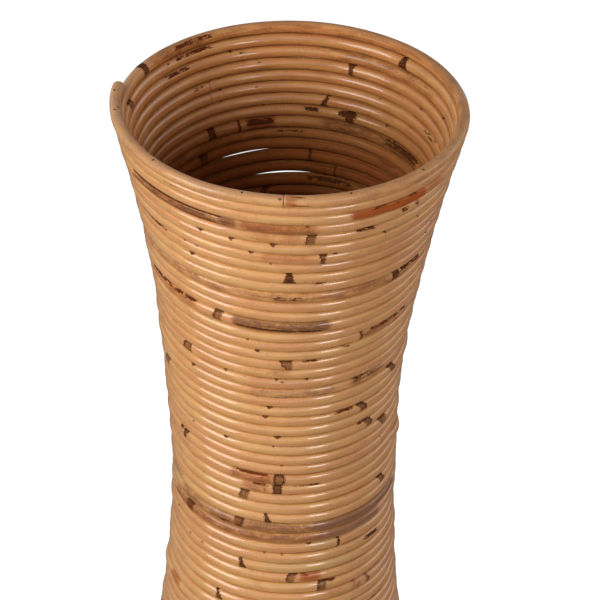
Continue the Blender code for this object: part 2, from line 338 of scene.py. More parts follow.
# Dark lines along the canes: angle and whole turns of the left end, angle of the right end,
# where round the cane it lies, half its width in degrees, and how dark and how red it is
LINES = (
    (-47, 1, -35, 20, 4, 1, 0.1), (-67, 3, -20, 58, 14, 1.1, 0.2), (-46, 3, -19, -14, 10, 1, 0.4),
    (-52, 3, -41, 30, 22, 0.8, 0.2), (-12, 3, 10, 51, 14, 0.6, 0.7), (-72, 7, -47, 54, 12, 0.9, 0.1),
    (21, 4, 34, 51, 16, 0.9, 0.2), (14, 6, 21, 52, 12, 0.7, 0.3), (14, 6, 22, -50, 14, 0.9, 0.3),
    (39, 3, 46, 24, 20, 0.95, 0.2), (46, 3, 51, 34, 22, 0.95, 0.2), (-46, 10, -33, 50, 14, 0.8, 0.3),
    (-8, 10, 10, 8, 22, 0.8, 0.3), (6, 9, 17, 49, 14, 0.8, 0.2), (46, 10, 66, 44, 24, 0.95, 0.2),
    (-75, 13, -36, 50, 18, 0.9, 0.2), (-24, 13, 18, -40, 34, 1, 0.1), (35, 15, 66, 50, 18, 0.9, 0.3),
    (20, 16, 34, 50, 14, 0.7, 0.4), (3, 17, 22, 52, 12, 0.8, 0.3), (-14, 20, 30, -48, 18, 0.8, 0.3),
    (30, 20, 52, 50, 34, 0.8, 0.3), (22, 23, 40, 50, 14, 0.9, 0.4), (36, 25, 45, 52, 14, 0.8, 0.3),
    (2, 22, 8, -30, 16, 0.6, 0.6), (0, 30, 24, 53, 9, 0.8, 0.5), (-28, 29, -3, 51, 14, 1, 0.4),
    (-16, 29, -4, 0, 26, 0.7, 0.8), (-18, 30, -4, 51, 12, 0.9, 0.2), (-12, 30, -4, 0, 18, 0.6, 0.6),
    (-1.6, 0, 9, -6, 9, 1, 0.7), (-1.6, 0, 7, 84, 8, 1, 0.6), (-20, 1, -3, 50, 9, 0.5, 0.6),
    (24, 2, 50, 52, 12, 0.75, 0.5), (30, 2, 60, -8, 10, 0.7, 0.6), (-8, 33, 6, -50, 14, 0.9, 0.2),
    (-38, 34, -23, -30, 20, 0.9, 0.1), (43, 37, 62, 20, 18, 1, 0.1), (8, 39, 16, 50, 18, 0.9, 0.5),
    (5, 39, 12, -50, 16, 0.8, 0.5), (20, 40, 32, 49, 20, 0.9, 0.4), (38, 41, 46, -10, 30, 0.8, 0.5),
    (-66, 28, -54, 51, 16, 0.9, 0.2), (-23, 38, -18, -40, 18, 1, 0.1), (-133, 1, -126, 150, 16, 0.8, 0.2),
    (-153, 0, -131, 150, 22, 0.9, 0.3), (-153, 1, -131, 140, 22, 0.9, 0.3),
    (-142, 2, -124, 146, 20, 0.9, 0.3), (-166, 2, -155, 150, 8, 0.7, 0),
    (-146, 4, -137, 150, 14, 0.9, 0.2), (166, 7, 177, 150, 24, 1, 0), (149, 7, 163, 144, 34, 1, 0),
    (112, 8, 140, 150, 30, 1, 0.1), (147, 13, 176, 150, 22, 0.9, 0), (-176, 8, -158, 150, 34, 1, 0),
    (100, 5, 120, 150, 20, 0.7, 0.3), (118, 2, 150, 152, 12, 0.6, 0.4), (-178, 5, -160, 152, 10, 0.6, 0.3),
    (170, 9, -170, 152, 12, 0.8, 0.1),
)

# Stained stretches: angle and whole turns of the left end, angle of the right end, fade in
# degrees, and how brown, red, hatched, grey and olive they are
STAINS = (
    (-67, 3, -16, 3, 0.95, 0.4, 0, 0, 0), (-19, 3, 12, 5, 0.6, 0.62, 0.9, 0, 0),
    (20, 2, 52, 2, 0.35, 1, 0, 0, 0), (48, 2, 66, 9, 0.3, 0.6, 0, 0, 0),
    (-96, 0, -14, 6, 0.12, 0, 0.3, 0.3, 0), (6, 0, 100, 8, 0.35, 0.15, 0.2, 0.15, 0),
    (100, 0, 240, 8, 0.4, 0.2, 0.2, 0.1, 0), (18, 10, 46, 4, 0.45, 0.3, 0.5, 0.1, 0),
    (-20, 18, 6, 6, 0.3, 0.25, 0.4, 0, 0), (-14, 4, 6, 4, 0.1, 0.35, 0.3, 0, 0),
    (-12, 6, 10, 4, 0, 0.4, 0.2, 0, 0), (-66, 34, 19, 3, 0.7, 0.3, 0.9, 0.4, 0),
    (13, 34, 80, 4, 0.8, 0, 0.5, 0.75, 0), (-76, 35, 24, 4, 0.7, 0.4, 0.9, 0.1, 0),
    (16, 35, 62, 5, 0.6, 0.1, 0.5, 0.7, 0), (-80, 33, -60, 4, 0.6, 0.1, 0.6, 0.4, 0),
    (-28, 29, -3, 3, 0.6, 0.55, 0.2, 0, 0), (-22, 30, -5, 3, 0.45, 0.35, 0.3, 0, 0),
    (-24, 13, 20, 3, 0.95, 0.2, 0.5, 0, 0), (-75, 13, -36, 4, 0.5, 0.4, 0, 0, 0),
    (14, 36, 32, 3, 0.1, 0, 0, 0, 0.45), (-14, 38, 42, 8, 0, 0, 0, 0.1, 0.4),
    (8, 39, 22, 3, 0.3, 0.8, 0, 0, 0), (-75, 44, -60, 4, 0.3, 0.7, 0, 0, 0),
    (30, 15, 66, 4, 0.6, 0.3, 0.3, 0, 0), (-9, 10, 14, 4, 0.5, 0.3, 0.5, 0, 0),
    (30, 20, 56, 5, 0.6, 0.1, 0.4, 0.3, 0), (-20, 20, 30, 8, 0.4, 0.1, 0.3, 0.3, 0),
    (-176, 8, -160, 3, 0.6, 0.6, 0.5, 0, 0), (112, 8, 170, 6, 0.8, 0.1, 0.3, 0.1, 0),
    (112, 2, 172, 8, 0.45, 0.3, 0.3, 0, 0), (-150, 0, -120, 4, 0.5, 0.3, 0, 0, 0),
    (-172, 9, 178, 4, 0.5, 0.2, 0.2, 0.2, 0), (150, 12, -175, 6, 0.7, 0.1, 0.2, 0.2, 0),
    (-1.6, 0, 3, 1, 0.4, 0.6, 0.3, 0, 0),
)
TONES = ("brown", "red", "hatch", "grey", "olive")

# Scars, lines and stains that the photograph doesn't show, in metres and degrees
NODE_SPACING = (0.24, 0.46)
NODE_SHAPES = (
    "block", "ring", "left", "right", "bell", "crescent", "bow", "slanted", "hook", "faint", "pinched",
)
NODE_VARIATION = (0.7, 1.3)
LINE_CHANCE = 0.45
LINE_LENGTH = (0.012, 0.05)
LINE_PLACES = (66, -62, 150, -150)
LINE_HALF_WIDTH = (9, 20)
LINE_DARKNESS = (0.5, 1)
LINE_REDNESS = (0, 0.5)
STAIN_SPACING = (0.5, 1.6)
STAIN_LENGTH = (0.04, 0.3)
STAIN_FADE = (0.003, 0.04)
STAIN_STRENGTH = 0.8
# What the photograph shows: from which angle to which, and down to how many whole turns
PHOTOGRAPHED = ((-88, 88, 43), (92, 268, 12))
# Metres over which a line tapers, and over which a scar ends half-way to the next one
LINE_TAPER = 0.008
SCAR_FADE = 0.0036


def photographed(turns):
    angle = (RIM_END_ANGLE + 360 * turns) % 360
    whole = math.floor(turns)
    for low, high, deepest in PHOTOGRAPHED:
        if whole <= deepest and (low <= angle <= high or low <= angle - 360 <= high):
            return True
    return False


def all_scars():
    """(metres along the coil, shape) of every scar, in order."""
    shown = {**SHOWN_SCARS, "brad_hole": [(angle, 0) for angle in RIM_BRAD_ANGLES]}
    found = []
    for shape, spots in shown.items():
        found += [(float(COIL.metres_at(turns_at(*spot))), SCARS[shape]) for spot in spots]
    draws = np.random.default_rng(SEEDS["scars"])
    place = 0.0
    while place < COIL.metres[-1]:
        place += draws.uniform(*NODE_SPACING)
        shape = np.array(SCARS[NODE_SHAPES[draws.integers(len(NODE_SHAPES))]], float)
        shape[:5] *= draws.uniform(*NODE_VARIATION, 5)
        shape[3:6] *= draws.choice([-1, 1])
        if not photographed(np.interp(place, COIL.metres, COIL.turns)):
            found.append((place, tuple(shape)))
    return sorted(found)


def all_lines():
    """(metres at the left end and at the right end, place, half width, darkness, redness)."""
    found = []
    for angle, whole, right, *form in LINES:
        start = turns_at(angle, whole)
        ends = COIL.metres_at([start, start + (right - angle) % 360 / 360])
        found.append((*ends, *form))
    draws = np.random.default_rng(SEEDS["lines"])
    for place, _ in all_scars():
        turns = np.interp(place, COIL.metres, COIL.turns)
        if draws.random() < LINE_CHANCE and not photographed(turns):
            side = draws.choice([-1, 1])
            length = draws.uniform(*LINE_LENGTH)
            height = draws.choice(LINE_PLACES)
            ends = sorted([place, place + side * length])
            form = [draws.uniform(*limits) for limits in (LINE_HALF_WIDTH, LINE_DARKNESS, LINE_REDNESS)]
            found.append((*ends, height, *form))
    return found


def all_stains():
    """(metres at the left end and at the right end, fade in metres, amounts)."""
    found = []
    for angle, whole, right, fade, *amounts in STAINS:
        start = turns_at(angle, whole)
        ends = COIL.metres_at([start, start + (right - angle) % 360 / 360])
        found.append((*ends, fade / 360 * float(metres_per_turn(start)), amounts))
    draws = np.random.default_rng(SEEDS["stains"])
    place = 0.0
    while place < COIL.metres[-1]:
        place += draws.uniform(*STAIN_SPACING)
        length = draws.uniform(*STAIN_LENGTH)
        amounts = draws.uniform(0, 1, len(TONES)) ** 2 * draws.integers(0, 2, len(TONES))
        if not photographed(np.interp(place, COIL.metres, COIL.turns)):
            found.append((place, place + length, draws.uniform(*STAIN_FADE), STAIN_STRENGTH * amounts))
    return found


ALL_SCARS = all_scars()
ALL_LINES = all_lines()
ALL_STAINS = all_stains()


def scar_values(metres):
    """Millimetres past the nearest scar, its shape, and 1, or down to 0 where the next one is as near."""
    places = np.array([place for place, _ in ALL_SCARS])
    shapes = np.array([shape for _, shape in ALL_SCARS])
    edges = (places[1:] + places[:-1]) / 2
    nearest = np.searchsorted(edges, metres)
    distance = metres - places[nearest]
    to_edge = np.abs(np.append(edges, np.inf)[nearest] - metres)
    to_edge = np.minimum(to_edge, np.abs(metres - np.insert(edges, 0, -np.inf)[nearest]))
    return 1000 * distance, shapes[nearest], np.clip(to_edge / SCAR_FADE - 1, 0, 1)


def line_values(metres):
    """For lines on the upper and on the lower half of the cane: place, darkness, width, redness."""
    found = {1: np.zeros((5, len(metres))), -1: np.zeros((5, len(metres)))}
    for start, end, height, width, dark, red in ALL_LINES:
        taper = min(LINE_TAPER, (end - start) / 3)
        amount = dark * smooth((metres - start) / taper) * smooth((end - metres) / taper)
        turned = math.radians(height)
        layer = found[1 if math.sin(turned) > 0 else -1]
        stronger = amount > layer[2]
        values = (math.cos(turned), math.sin(turned), amount, math.radians(width), red)
        for row, value in zip(layer, values):
            row[stronger] = np.broadcast_to(value, metres.shape)[stronger]
    return found[1], found[-1]


def stain_values(metres):
    """How brown, red, hatched, grey and olive each place is."""
    found = np.zeros((len(TONES), len(metres)))
    for start, end, fade, amounts in ALL_STAINS:
        shape = smooth((metres - start) / fade) * smooth((end - metres) / fade)
        for row, amount in zip(found, amounts):
            np.maximum(row, amount * shape, out=row)
    return found


def set_attribute(mesh, name, values):
    """Gives the mesh's points a number or a vector each."""
    values = np.asarray(values, np.float32)
    kind = "FLOAT" if values.ndim == 1 else "FLOAT_VECTOR"
    made = mesh.attributes.new(name, kind, "POINT")
    made.data.foreach_set("value" if values.ndim == 1 else "vector", values.ravel())


def cane_rings(start, end):
    """Places along the coil of a cane's rings, and how much its ends are drawn in there."""
    offsets = np.array([offset for offset, _ in END_RINGS])
    drawn = np.array([share for _, share in END_RINGS])
    from_start = start + offsets / metres_per_turn(start)
    from_end = (end - offsets / metres_per_turn(end))[::-1]
    clear = RING_CLEARANCE / STATIONS
    between = (COIL.turns > from_start[-1] + clear) & (COIL.turns < from_end[0] - clear)
    places = np.concatenate([from_start, COIL.turns[between], from_end])
    return places, np.concatenate([drawn, np.ones(between.sum()), drawn[::-1]])


def cane_section(places):
    """(out, up) of the points of every ring, in radii. The turn at the rim is round on top."""
    below_rim = smooth((places - 1) / RIM_FADE)
    filling = np.clip(np.interp(places, *zip(*GROOVE_FILLING)) + COIL.filling_at(places), 0, 1)
    sides = []
    for share in (filling * below_rim, filling):
        share = share[:, None, None]
        half = np.array(ROUND_SECTION) * (1 - share) + np.array(FILLED_SECTION) * share
        inner = np.broadcast_to(np.array(INNER_SECTION), (len(places), len(INNER_SECTION), 2))
        sides.append(np.concatenate([half, inner], 1))
    upper, lower = sides
    lower = lower[:, -2:0:-1] * np.array([1, -1])
    return np.moveaxis(np.concatenate([upper, lower], 1), 2, 0)


def close_end(ring, base, flip):
    """The faces from a cane's last ring to the ring of points at base, and from there to the middle."""
    faces = []
    for i in range(SIDES):
        j = (i + 1) % SIDES
        outer = (int(ring[i]), int(ring[j]), base + j, base + i)
        inner = (base + i, base + j, base + SIDES)
        faces += [outer[::-1], inner[::-1]] if flip else [outer, inner]
    return faces


def add_object(name, data):
    made = bpy.data.objects.new(name, data)
    bpy.context.scene.collection.objects.link(made)
    return made


def make_cane(number, start, end, material):
    """A round cane along its part of the coil, with rounded ends."""
    places, drawn = cane_rings(start, end)
    middle, across, along, radius = COIL.place(places)
    metres = COIL.metres_at(places)
    if number > 1:
        set_back = END_SET_BACK * (1 - smooth((metres - metres[0]) / END_SET_BACK_REACH))
        middle = middle - across * set_back[:, None]
    distance, shape, _ = scar_values(metres)
    all_round = shape[:, -1] < 0
    swelling = NODE_SWELLING * bump(distance / 1000 / NODE_SWELLING_REACH) * all_round
    radius = (radius + swelling) * drawn
    section = cane_section(places)
    spokes = section[0][..., None] * across[:, None] + section[1][..., None] * along[:, None]
    rings = middle[:, None] + radius[:, None, None] * spokes

    count = len(places)
    ids = np.arange(count * SIDES).reshape(count, SIDES)
    nearer, further = ids[:-1], ids[1:]
    quads = np.stack([nearer, further, np.roll(further, -1, 1), np.roll(nearer, -1, 1)], -1).reshape(-1, 4)
    points = [rings.reshape(-1, 3)]
    faces = quads.tolist()
    local = [(section * radius[:, None]).reshape(2, -1)]
    ring_of = [np.repeat(np.arange(count), SIDES)]
    for ring, flip in ((0, False), (count - 1, True)):
        faces += close_end(ids[ring], sum(len(part) for part in points), flip)
        points += [middle[ring] + END_CORE * radius[ring] * spokes[ring], middle[ring][None]]
        local += [END_CORE * radius[ring] * section[:, ring], np.zeros((2, 1))]
        ring_of.append(np.full(SIDES + 1, ring))

    name = f"rattan_cane_{number:02d}"
    mesh = bpy.data.meshes.new(name)
    mesh.from_pydata(np.concatenate(points).tolist(), [], faces)
    local = np.concatenate(local, 1)
    mark_cane(mesh, places, np.concatenate(ring_of), local, GRAIN_STEP * number)
    lay_out_map(mesh, metres, len(quads), local)
    mesh.shade_smooth()
    mesh.set_sharp_from_angle(angle=math.radians(CANE_CREASE_ANGLE))
    mesh.materials.append(material)
    return add_object(name, mesh)


def mark_cane(mesh, places, ring_of, local, grain_start):
    """Gives each point of a cane what the cane's finish reads there."""
    metres = COIL.metres_at(places)
    distance, shape, near = scar_values(metres)
    upper, lower = line_values(metres)
    half, wider, pinch, slant, bend, side, fill, reach = shape.T
    redness = np.maximum(upper[4] * upper[2], lower[4] * lower[2])
    brown, red, hatch, grey, olive = stain_values(metres)
    rim = 1 - smooth((places - 1) / (2 * RIM_FADE))
    for name, values in {
        "scar": (distance, half, wider),
        "scar_lean": (pinch, slant, bend),
        "scar_look": (side, fill, reach),
        "upper_line": upper[:3],
        "lower_line": lower[:3],
        "line_form": (upper[3], lower[3], redness),
        "stain": (brown, red, hatch),
        "tint": (grey, olive, rim),
    }.items():
        set_attribute(mesh, name, np.stack(values, -1)[ring_of])
    indoors = np.clip(0.5 - local[0] / CANE_DIAMETER * 2, 0, 1)
    first, fade = UNSPRAYED_AND_PAINTED_SHADE
    set_attribute(mesh, "straight", np.stack([*local, metres[ring_of] + grain_start], -1))
    set_attribute(mesh, "scar_near", near[ring_of])
    set_attribute(mesh, "cut", np.arange(len(ring_of)) >= len(places) * SIDES)
    set_attribute(mesh, "indoors", indoors)
    set_attribute(mesh, "unsprayed", indoors * smooth((places[ring_of] - first) / fade))


def lay_out_map(mesh, metres, quad_count, local):
    """A map with the cane cut into even rows, one over another, and its two ends in the last row."""
    steps = len(metres) - 1
    rows = max(1, round(math.sqrt((metres[-1] - metres[0]) / (math.pi * CANE_DIAMETER))))
    row_of = np.minimum((np.arange(steps) * rows) // steps, rows - 1)
    row_starts = metres[np.searchsorted(row_of, np.arange(rows))][row_of]
    row_ends = metres[np.searchsorted(row_of, np.arange(rows), side="right")][row_of]

    def along_row(places):
        return MAP_MARGIN / 4 + (1 - MAP_MARGIN / 2) * (places - row_starts) / (row_ends - row_starts)

    def across_row(side):
        return (row_of[:, None] + MAP_MARGIN + (1 - 2 * MAP_MARGIN) * side / SIDES) / (rows + 1)

    low, high = across_row(np.arange(SIDES)), across_row(np.arange(SIDES) + 1)
    near, far = (np.broadcast_to(along_row(ends)[:, None], low.shape) for ends in (metres[:-1], metres[1:]))
    corners = [np.stack(corner, -1) for corner in ((near, low), (far, low), (far, high), (near, high))]
    spots = np.zeros((len(mesh.loops), 2))
    spots[: quad_count * 4] = np.stack(corners, 2).reshape(-1, 2)
    ids = np.zeros(len(mesh.loops), int)
    mesh.loops.foreach_get("vertex_index", ids)
    rest = ids[quad_count * 4:]
    middle = np.where(np.arange(len(rest)) < len(rest) // 2, *MAP_END_PLACES)
    width, height = MAP_END_SIZE
    spots[quad_count * 4:, 0] = middle + local[0][rest] / CANE_DIAMETER * width
    spots[quad_count * 4:, 1] = (rows + 0.5 + height * local[1][rest] / CANE_DIAMETER) / (rows + 1)
    mesh.uv_layers.new(name="OFBake").data.foreach_set("uv", spots.astype(np.float32).ravel())


def plane_level(piece):
    """Takes off what lies under the floor and closes the cut."""
    bm = bmesh.new()
    bm.from_mesh(piece.data)
    everything = bm.verts[:] + bm.edges[:] + bm.faces[:]
    cut = bmesh.ops.bisect_plane(
        bm, geom=everything, dist=1e-6, plane_co=(0, 0, 0), plane_no=(0, 0, -1), clear_outer=True
    )
    rim = [part for part in cut["geom_cut"] if isinstance(part, bmesh.types.BMEdge)]
    bmesh.ops.contextual_create(bm, geom=rim)
    bm.to_mesh(piece.data)
    bm.free()


# Finishes


class Value:
    """A socket of a material's nodes. Arithmetic on it adds Math nodes."""

    def __init__(self, finish, socket):
        self.finish = finish
        self.socket = socket

    def maths(self, operation, *others, clamp=False):
        settings = {"operation": operation, "use_clamp": clamp}
        return self.finish.node("ShaderNodeMath", settings, dict(enumerate((self, *others))))

    def reflected(self, operation, number):
        return self.finish.node("ShaderNodeMath", {"operation": operation}, {0: number, 1: self})

    def __add__(self, other):
        return self.maths("ADD", other)

    def __mul__(self, other):
        return self.maths("MULTIPLY", other)

    def __sub__(self, other):
        return self.maths("SUBTRACT", other)

    def __truediv__(self, other):
        return self.maths("DIVIDE", other)

    def __rsub__(self, number):
        return self.reflected("SUBTRACT", number)

    def __rtruediv__(self, number):
        return self.reflected("DIVIDE", number)

    def __neg__(self):
        return self * -1

    def __abs__(self):
        return self.maths("ABSOLUTE")

    __radd__ = __add__
    __rmul__ = __mul__

    def clamped(self):
        return self.maths("ADD", 0, clamp=True)

    def larger(self, other):
        return self.maths("MAXIMUM", other)

    def ramp(self, low, high):
        """0 at low and 1 at high, and smooth between them."""
        inputs = {"Value": self, "From Min": low, "From Max": high}
        return self.finish.node("ShaderNodeMapRange", {"interpolation_type": "SMOOTHSTEP"}, inputs)

    def parts(self):
        return [self.finish.node("ShaderNodeSeparateXYZ", {}, {0: self}, output) for output in range(3)]


class Finish:
    """The nodes around the one shader of a material or of the world."""

    def __init__(self, owner, shader="Principled BSDF", **constants):
        self.tree = owner.node_tree
        self.shader = self.tree.nodes[shader]
        for socket, value in constants.items():
            self.shader.inputs[socket.replace("_", " ")].default_value = value

    def node(self, kind, settings=None, inputs=None, output=0):
        made = self.tree.nodes.new(kind)
        for setting, value in (settings or {}).items():
            if setting == "stops":
                self.set_stops(made.color_ramp, value)
            else:
                setattr(made, setting, value)
        for socket, value in (inputs or {}).items():
            if isinstance(value, Value):
                self.tree.links.new(value.socket, made.inputs[socket])
            else:
                made.inputs[socket].default_value = value
        return Value(self, made.outputs[output])

    def set_stops(self, ramp, stops):
        while len(ramp.elements) < len(stops):
            ramp.elements.new(1)
        for element, (position, colour) in zip(ramp.elements, stops):
            element.position = position
            element.color = (*colour, 1)

    def stops(self, value, stops):
        return self.node("ShaderNodeValToRGB", {"stops": stops}, {0: value})

    def seen(self, ray):
        return self.node("ShaderNodeLightPath", output=ray)

    def attribute(self, name, output="Vector"):
        return self.node("ShaderNodeAttribute", {"attribute_name": name}, output=output)

    def stretched(self, vector, scale):
        return self.node("ShaderNodeVectorMath", {"operation": "MULTIPLY"}, {0: vector, 1: scale})

    def noise(self, vector, scale, detail=2.0, roughness=0.5, distortion=0.0):
        inputs = {"Vector": vector, "Scale": scale, "Detail": detail, "Roughness": roughness}
        inputs["Distortion"] = distortion
        return self.node("ShaderNodeTexNoise", {"noise_dimensions": "3D"}, inputs)

    def cells(self, vector, scale):
        return self.node("ShaderNodeTexVoronoi", {}, {"Vector": vector, "Scale": scale})

    def mix(self, share, colour, other, blend="MIX"):
        settings = {"data_type": "RGBA", "blend_type": blend, "clamp_factor": True}
        inputs = {0: share}
        for socket, value in ((6, colour), (7, other)):
            inputs[socket] = value if isinstance(value, Value) else (*value, 1)
        return self.node("ShaderNodeMix", settings, inputs, 2)

    def over(self, colour, *layers):
        """A colour with others laid on it, one after another: each its share, its colour and its blend."""
        for share, other, *blend in layers:
            colour = self.mix(share, colour, other, *blend)
        return colour

    def connect(self, **values):
        for socket, value in values.items():
            self.tree.links.new(value.socket, self.shader.inputs[socket.replace("_", " ")])

    def bump(self, height, strength, distance):
        inputs = {"Height": height, "Strength": strength, "Distance": distance}
        self.connect(Normal=self.node("ShaderNodeBump", {}, inputs))


def new_material(name):
    material = bpy.data.materials.new(name)
    material.use_nodes = True
    return material


# Patterns on the cane: how far each is stretched across it and along it, as factors on the place
# there, then the noise's scale, detail and roughness
CANE_PATTERNS = {
    "patches": (1, 0.1, 55, 2),
    "drift": (0.3, 0.06, 90, 1),
    "fibres": (1, 0.02, 2600, 3, 0.6),
    "strands": (1, 0.025, 800, 2, 0.6),
    "streaks": (1, 0.06, 430, 3, 0.6),
    "bands": (1, 0.07, 360, 2, 0.55),
    "swells": (1, 0.14, 150, 1),
    "flecks": (1, 0.3, 620, 2, 0.6),
    "cloud": (1, 0.35, 210, 3, 0.55),
    "teeth": (0.25, 1, 900, 1, 0.5),
    "rough": (1, 1, 900, 3, 0.6),
    "fine": (1, 1, 2600, 2, 0.6),
    "pores": (1, 1, 4200, 1),
}
# Stops of the bare cane's tint and of a scar's mottle
HONEY_TINTS = (
    (0.34, (0.54, 0.279, 0.092)),
    (0.43, (0.57, 0.288, 0.097)),
    (0.50, (0.55, 0.256, 0.083)),
    (0.57, (0.52, 0.228, 0.072)),
    (0.65, (0.49, 0.221, 0.088)),
)
SCAR_MOTTLE = ((0.45, (0.040, 0.010, 0.002)), (0.53, (0.13, 0.034, 0.007)), (0.63, (0.40, 0.140, 0.032)))
# Colours laid over the bare cane, in order. Those for indoors and for the painted shade deep inside, where
# the lacquer is unsprayed, multiply what is there
CANE_TONES = {
    "strands": (0.44, 0.19, 0.06),
    "fibres": (0.36, 0.15, 0.05),
    "golden bands": (0.52, 0.29, 0.095),
    "rosy bands": (0.52, 0.205, 0.080),
    "pale cloud": (0.64, 0.36, 0.13),
    "dark cloud": (0.46, 0.19, 0.06),
    "teeth": (0.34, 0.14, 0.05),
    "grain": (0.24, 0.10, 0.04),
    "indoors": (1.08, 1.00, 0.95),
    # Painted shade: multiplies the colour darker deep inside the vase
    "unsprayed": (0.50, 0.33, 0.22),
    "streaks": (0.22, 0.085, 0.030),
    "olive stain": (0.41, 0.29, 0.11),
    "red stain": (0.34, 0.060, 0.008),
    "burnt stain": (0.07, 0.018, 0.004),
    "brown stain": (0.21, 0.068, 0.018),
    "grey stain": (0.19, 0.078, 0.034),
    "hatching": (0.20, 0.072, 0.028),
    # Painted light: a paler colour for the undersides, standing in for fill light from below
    "painted_underside_light": (0.80, 0.46, 0.17),
    # Painted light: a paler colour for the grooves, standing in for fill light in them
    "groove": (0.84, 0.50, 0.20),
    "bare rim": (0.54, 0.34, 0.20),
    # Painted shade: a darker colour for the seams between turns
    "painted_seam_shade": (0.30, 0.115, 0.036),
    "line": (0.070, 0.020, 0.006),
    "red line": (0.20, 0.042, 0.008),
    "specks": (0.075, 0.035, 0.018),
    "scar edge": (0.070, 0.019, 0.005),
    "pith": (0.50, 0.30, 0.15),
    "pores": (0.16, 0.075, 0.035),
}
BOARD_TONES = {
    "pale": (0.52, 0.36, 0.21),
    "grain": (0.36, 0.22, 0.11),
    "pores": (0.20, 0.11, 0.055),
    "layers": (0.30, 0.18, 0.09),
}
BRAD_TONES = {"blued": (0.035, 0.025, 0.020), "rust": (0.10, 0.05, 0.03)}


def cane_skin(finish):
    """Where a point lies on its cane, the patterns over it, and what the mesh says of it."""
    straight = finish.attribute("straight")
    sideways, upright, _ = straight.parts()
    radial = (sideways * sideways + upright * upright).maths("SQRT").larger(0.0001)
    skin = SimpleNamespace(straight=straight, out=sideways / radial, up=upright / radial)
    for name, (across, along, *texture) in CANE_PATTERNS.items():
        vector = finish.stretched(straight, (across, across, along))
        setattr(skin, name, finish.noise(vector, *texture))
    for name in ("indoors", "unsprayed", "cut"):
        setattr(skin, name, finish.attribute(name, "Fac"))
    skin.brown, skin.red, skin.hatch = finish.attribute("stain").parts()
    skin.grey, skin.olive, skin.rim = finish.attribute("tint").parts()
    skin.covered = 1 - skin.rim * skin.up.ramp(0, 0.1)
    skin.groove = abs(skin.up).ramp(0.64, 0.86) * skin.covered
    return skin


def honey_cane(finish, skin):
    """The colour of the cane itself, with painted shade deep inside the vase, where hardly any lacquer
    came.
    """
    colour = finish.stops(skin.patches * 0.6 + skin.drift * 0.4, HONEY_TINTS)
    toothed = skin.teeth.ramp(0.50, 0.62) * skin.cloud.ramp(0.45, 0.60)
    return finish.over(
        colour,
        ((skin.strands - 0.5).ramp(-0.02, 0.20) * 0.35, CANE_TONES["strands"]),
        ((skin.fibres - 0.5).ramp(0.0, 0.25) * 0.25, CANE_TONES["fibres"]),
        ((skin.bands - 0.5).ramp(0.0, 0.14) * 0.5, CANE_TONES["golden bands"]),
        ((0.5 - skin.bands).ramp(0.0, 0.14) * 0.5, CANE_TONES["rosy bands"]),
        ((0.5 - skin.cloud).ramp(0.0, 0.2) * 0.30, CANE_TONES["pale cloud"]),
        ((skin.cloud - 0.5).ramp(0.05, 0.22) * 0.45, CANE_TONES["dark cloud"]),
        (toothed * 0.30, CANE_TONES["teeth"]),
        ((skin.fine * 0.6 + skin.rough * 0.4).ramp(0.60, 0.68) * 0.45, CANE_TONES["grain"]),
        (skin.indoors, CANE_TONES["indoors"], "MULTIPLY"),
        # Painted shade deep inside the vase, where the lacquer also thins
        (skin.unsprayed, CANE_TONES["unsprayed"], "MULTIPLY"),
        (skin.indoors * skin.streaks.ramp(0.52, 0.66) * 0.35, CANE_TONES["streaks"]),
    )


def stain_cane(finish, skin, colour):
    """Stained stretches, each strongest where the cane's own patterns are dark."""
    uneven = skin.cloud * 0.45 + skin.rough * 0.25 + skin.strands * 0.30 - 0.5
    red = skin.red * (uneven + skin.red * 0.30 - 0.06).ramp(-0.10, 0.12)
    brown = skin.brown * (uneven + skin.brown * 0.22 - 0.12).ramp(-0.08, 0.08)
    grey = skin.grey * (uneven * 0.6 + skin.grey * 0.35 - 0.12).ramp(-0.10, 0.10)
    charred = (skin.flecks * 0.6 + skin.strands * 0.4).ramp(0.44, 0.58)
    return finish.over(
        colour,
        (skin.olive * (0.75 + uneven * 2), CANE_TONES["olive stain"]),
        (red * 0.9, CANE_TONES["red stain"]),
        (brown * 0.85, finish.mix(charred, CANE_TONES["burnt stain"], CANE_TONES["brown stain"])),
        (grey, CANE_TONES["grey stain"]),
        (skin.hatch * skin.teeth.ramp(0.47, 0.58) * 0.50, CANE_TONES["hatching"]),
    )


def paint_groove_light_and_shade(finish, skin, colour):
    """Painted light on the undersides and in the grooves of the canes, the bare top of the rim, and painted
    shade in the seams.
    """
    outdoors = 1 - skin.indoors
    # Painted shade in the seams between turns, in patches
    painted_seam_shade = abs(skin.up).ramp(0.72, 0.90) * (skin.cloud * 3.2 - 1.4).clamped() * skin.covered
    return finish.over(
        colour,
        # Painted light on the undersides of the canes outside
        ((-skin.up).ramp(0.2, 0.8) * outdoors * 0.25, CANE_TONES["painted_underside_light"]),
        # Painted light in the grooves of the canes outside
        (skin.groove * outdoors * 0.20, CANE_TONES["groove"]),
        ((1 - skin.covered) * skin.up.ramp(0.1, 0.8) * 0.25, CANE_TONES["bare rim"]),
        (painted_seam_shade * 0.5, CANE_TONES["painted_seam_shade"]),
    )


def line_masks(finish, skin):
    """Where the dark lines along the cane are, and how red they are."""
    upper_width, lower_width, redness = finish.attribute("line_form").parts()
    lines = []
    for name, width in (("upper_line", upper_width), ("lower_line", lower_width)):
        cos_place, sin_place, amount = finish.attribute(name).parts()
        angle = (skin.out * cos_place + skin.up * sin_place).maths("MINIMUM", 1).maths("ARCCOSINE")
        wavy = width * (0.2 + 0.8 * skin.strands + 0.8 * skin.rough)
        body = 1 - (angle / wavy.larger(0.001)).ramp(0.8, 1.1)
        broken = (skin.flecks * 0.65 + skin.rough * 0.35 + amount * 0.45 - 0.855).ramp(-0.04, 0.06)
        lines.append(body * broken * amount.ramp(0.0, 0.3))
    return lines[0].larger(lines[1]), redness


